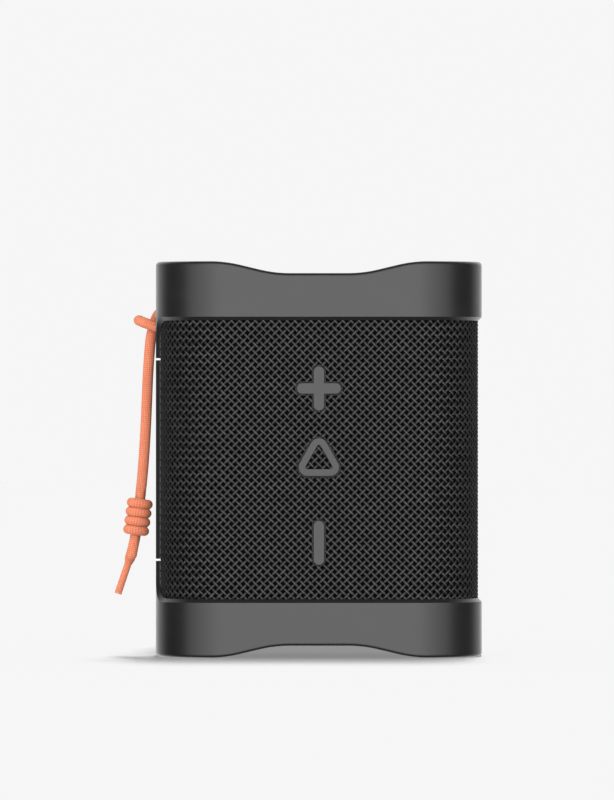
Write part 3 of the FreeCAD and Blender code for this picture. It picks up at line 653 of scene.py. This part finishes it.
patch_scrim = plate("play_patch_scrim", circle_outline(PLAY_CORNERS, PLAY_R - PLAY_STROKE - 0.05),
                    front_y=-26.07, back_y=-24.72)
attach(patch_scrim, "play_key")
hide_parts("play_patch")
for piece in weave_pieces + [patch_weave]:
    piece.data.materials.append(YARN)
for piece in (scrim, patch_scrim):
    piece.data.materials.append(SCRIM)

# ---- finishes of the pieces that keep their shape ----
SHELL = shell_material()
paint(SHELL, "shell_frame", "plus_button", "play_button", "minus_button")
paint(moulded("cup_plastic", (0.006, 0.006, 0.006), 0.5), "lanyard_cup")
paint(moulded("side_key_rubber", (0.012, 0.012, 0.012), 0.48, grain=3000, depth=8e-6),
      "power_button", "link_button")
paint(moulded("mark_white", (0.78, 0.78, 0.78), 0.5, share=0.03), "side_marks")
paint(moulded("bar_steel", (0.52, 0.52, 0.53), 0.24, metallic=1.0, stretch=(1, 0.02, 1)), "lanyard_bar")
paint(moulded("seal_rubber", (0.010, 0.010, 0.010), 0.62, depth=9e-6), "housing_seal", "port_door")
paint(moulded("light_lens", (0.62, 0.62, 0.60), 0.2, share=0.04), "status_light")
paint(moulded("socket_steel", (0.60, 0.60, 0.62), 0.3, metallic=1.0), "usb_socket")
paint(moulded("carrier_plastic", (0.008, 0.008, 0.008), 0.6), "grille_carrier")
paint(moulded("housing_plastic", (0.02, 0.02, 0.021), 0.55), "front_housing", "rear_housing")
paint(moulded("screw_steel", (0.45, 0.45, 0.46), 0.3, metallic=1.0), "housing_screws")
paint(moulded("basket_metal", (0.12, 0.12, 0.13), 0.45, metallic=0.6),
      "driver_left_basket", "driver_right_basket", "radiator_frame")
paint(moulded("magnet_ferrite", (0.03, 0.03, 0.032), 0.7, share=0.2, depth=2e-5), "driver_left_magnet",
      "driver_right_magnet")
paint(moulded("yoke_steel", (0.42, 0.42, 0.44), 0.35, metallic=1.0), "driver_left_yoke", "driver_right_yoke")
paint(moulded("cone_plastic", (0.03, 0.03, 0.032), 0.5, depth=1e-5), "driver_left_cone", "driver_right_cone")
paint(moulded("surround_rubber", (0.012, 0.012, 0.012), 0.55),
      "driver_left_surround", "driver_right_surround", "radiator_surround")
paint(moulded("spider_cloth", (0.35, 0.22, 0.08), 0.9, share=0.2, grain=2500, depth=4e-5),
      "driver_left_spider", "driver_right_spider")
paint(moulded("radiator_metal", (0.30, 0.30, 0.31), 0.32, metallic=1.0, stretch=(1, 1, 0.05)),
      "radiator_plate")
paint(moulded("cell_foil", (0.50, 0.50, 0.52), 0.35, metallic=0.8, share=0.08), "battery_cell")
paint(moulded("strap_plastic", (0.02, 0.02, 0.02), 0.5), "battery_strap")
paint(moulded("board_laminate", (0.01, 0.06, 0.025), 0.4, share=0.2),
      "main_board", "button_board", "side_board", "antenna")
paint(moulded("component_black", (0.015, 0.015, 0.016), 0.45),
      "board_components", "front_switches", "side_switches")

# ---- stage ----
BACKDROP = 0.9216
world = bpy.data.worlds.new("studio")
scene.world = world
world.use_nodes = True
world.node_tree.nodes["Background"].inputs["Color"].default_value = (BACKDROP, BACKDROP, BACKDROP, 1)
world.node_tree.nodes["Background"].inputs["Strength"].default_value = 1.0

SHADE = 0.295       # how bright the floor still is in full shadow
FLOOR_TINT = 0.05   # so little that only the overhead lights below show on it


def stage_plane(name, size, place, turn, material):
    mesh = bpy.data.meshes.new(name)
    w, h = size[0] / 2, size[1] / 2
    mesh.from_pydata([(-w, -h, 0), (w, -h, 0), (w, h, 0), (-w, h, 0)], [], [(0, 1, 2, 3)])
    obj = bpy.data.objects.new(name, mesh)
    scene.collection.objects.link(obj)
    obj.location = place
    obj.rotation_euler = [math.radians(a) for a in turn]
    obj.data.materials.append(material)
    obj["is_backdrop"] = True
    return obj


def floor_material():
    """Matt white, with light of its own so that it meets the backdrop without a line."""
    material = bpy.data.materials.new("floor_white")
    material.use_nodes = True
    tree = material.node_tree
    tree.nodes.clear()
    out, add = tree.nodes.new("ShaderNodeOutputMaterial"), tree.nodes.new("ShaderNodeAddShader")
    diffuse, glow = tree.nodes.new("ShaderNodeBsdfDiffuse"), tree.nodes.new("ShaderNodeEmission")
    diffuse.inputs["Color"].default_value = (FLOOR_TINT, FLOOR_TINT, FLOOR_TINT, 1)
    glow.inputs["Color"].default_value = (1, 1, 1, 1)
    glow.inputs["Strength"].default_value = SHADE - FLOOR_TINT * BACKDROP
    tree.links.new(diffuse.outputs[0], add.inputs[0])
    tree.links.new(glow.outputs[0], add.inputs[1])
    tree.links.new(add.outputs[0], out.inputs["Surface"])
    return material


def card_material():
    material = bpy.data.materials.new("card_black")
    material.use_nodes = True
    shader = material.node_tree.nodes["Principled BSDF"]
    shader.inputs["Base Color"].default_value = (0.0, 0.0, 0.0, 1)
    shader.inputs["Specular IOR Level"].default_value = 0.0
    return material


floor = stage_plane("floor", (12, 12), (0, 0, 0), (0, 0, 0), floor_material())
floor.visible_glossy = floor.visible_shadow = False
card = card_material()
MIDDLE = 0.06       # height of the lighting's centre
for name, size, place, turn in (
        ("flag_left", (1.05, 2.4), (-1.0, 0.075, MIDDLE), (90, 0, 90)),
        ("flag_right", (1.05, 2.4), (1.0, 0.075, MIDDLE), (90, 0, 90)),
        ("flag_top", (2.0, 1.5), (0, -0.15, MIDDLE + 1.2), (0, 0, 0)),
        ("flag_low", (2.0, 1.5), (0, -0.15, MIDDLE - 1.2), (0, 0, 0))):
    flag = stage_plane(name, size, place, turn, card)
    flag.visible_camera = flag.visible_diffuse = flag.visible_shadow = False

lit = bpy.data.collections.new("lit_by_front")
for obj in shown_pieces():
    lit.objects.link(obj)
ground = bpy.data.collections.new("lit_from_above")
ground.objects.link(floor)


def softbox(name, place, turn, size, watts):
    light = bpy.data.lights.new(name, "AREA")
    light.shape = "RECTANGLE"
    light.size, light.size_y = size
    light.energy = watts
    obj = bpy.data.objects.new(name, light)
    scene.collection.objects.link(obj)
    obj.location = place
    obj.rotation_euler = [math.radians(a) for a in turn]
    obj.light_linking.receiver_collection = lit
    obj.light_linking.blocker_collection = lit
    return obj


# a soft fall-off to both sides: lamps of growing width, one behind another, watts per square metre of each
for k, (x, wide, glow) in enumerate(((0, 0.65, 2.5), (0, 1.38, 1.9), (-0.06, 2.51, 1.8), (-0.1, 4.9, 2.05))):
    softbox(f"front_{k}", (x, -1.3 - 0.01 * k, MIDDLE), (90, 0, 0), (wide, 2.4), glow * wide * 2.4)
softbox("behind", (0, 1.4, MIDDLE), (90, 0, 180), (1.7, 2.4), 11)

# overhead light for the floor: narrow lamps that lean back by one list and to the right by the other
BACK = (2, 8, 12, 16, 19, 22, 24, 26, 28, 30, 32, 35, 39)
RIGHT = (0.1, 0.4, 0.7, 1.0, 1.4, 1.8, 2.2, 2.7, 3.3, 4.2, 5.3, 6.8, 9.0)
for k, back in enumerate(BACK):
    right = RIGHT[k * 5 % len(RIGHT)]
    sun = bpy.data.lights.new(f"overhead_{k}", "SUN")
    sun.angle = math.radians(4)
    obj = bpy.data.objects.new(sun.name, sun)
    scene.collection.objects.link(obj)
    towards = Vector((math.tan(math.radians(right)), math.tan(math.radians(back)), 1)).normalized()
    obj.rotation_euler = towards.to_track_quat("Z", "Y").to_euler()
    sun.energy = (BACKDROP - SHADE) / FLOOR_TINT * math.pi / len(BACK) / towards.z
    obj.light_linking.receiver_collection = ground

# cards that only shade the floor: one under the arch, three upright ones ever lower behind the left edge
shades = [stage_plane("shade_card", (0.093, 0.11), (-0.0025, 0.075, 0.015), (0, 0, 0), card)]
for k, tall in enumerate((0.10, 0.07, 0.035)):
    place = (-0.0465, 0.05 + 0.045 * k, tall / 2)
    shades.append(stage_plane(f"shade_fin_{k}", (0.045, tall), place, (90, 0, 90), card))
for shade in shades:
    shade.visible_camera = shade.visible_diffuse = shade.visible_glossy = False
